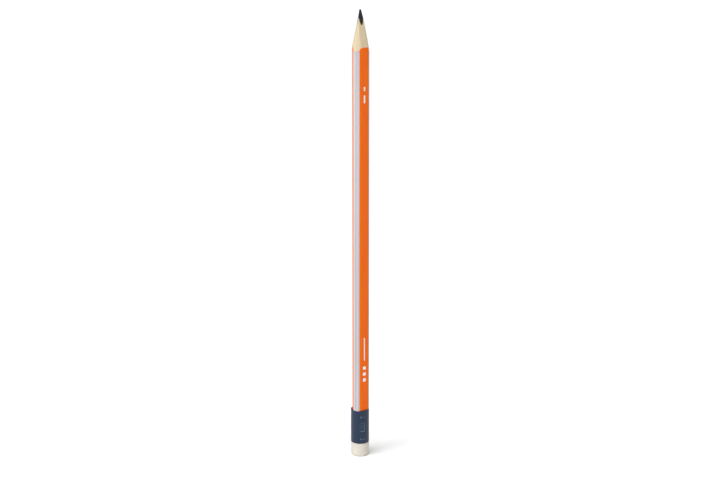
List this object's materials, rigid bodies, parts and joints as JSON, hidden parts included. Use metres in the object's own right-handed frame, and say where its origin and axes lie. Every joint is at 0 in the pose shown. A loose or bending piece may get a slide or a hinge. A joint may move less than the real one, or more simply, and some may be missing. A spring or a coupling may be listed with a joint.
{
  "type": "graphite pencil",
  "caption": "Sharpened graphite pencil with a rounded triangular striped wooden body, a painted crimped ferrule and an eraser.",
  "frame": {"origin": "centre of the eraser's flat end, on the pencil's axis", "axes": "+Z along the pencil from the eraser to the point; +X towards the rounded corner with silver_stripe_1"},
  "size_m": [0.0076, 0.0076, 0.19],
  "materials": {
    "graphite": "satin",
    "bare_wood": "matte",
    "orange_lacquer": "gloss",
    "silver_stripe": "satin",
    "white_foil": "satin",
    "navy_ferrule": "satin",
    "eraser": "matte"
  },
  "bodies": {
    "root": {"graphite_core": "graphite", "casing_slat_front": "bare_wood", "casing_slat_back": "bare_wood", "lacquer_coat": "orange_lacquer", "silver_stripe_1": "silver_stripe", "silver_stripe_2": "silver_stripe", "silver_stripe_3": "silver_stripe", "foil_bar_1": "white_foil", "foil_bar_2": "white_foil", "foil_bar_3": "white_foil", "foil_bar_4": "white_foil", "foil_bar_5": "white_foil", "foil_bar_6": "white_foil", "ferrule": "navy_ferrule", "eraser": "eraser"}
  },
  "joints": []
}
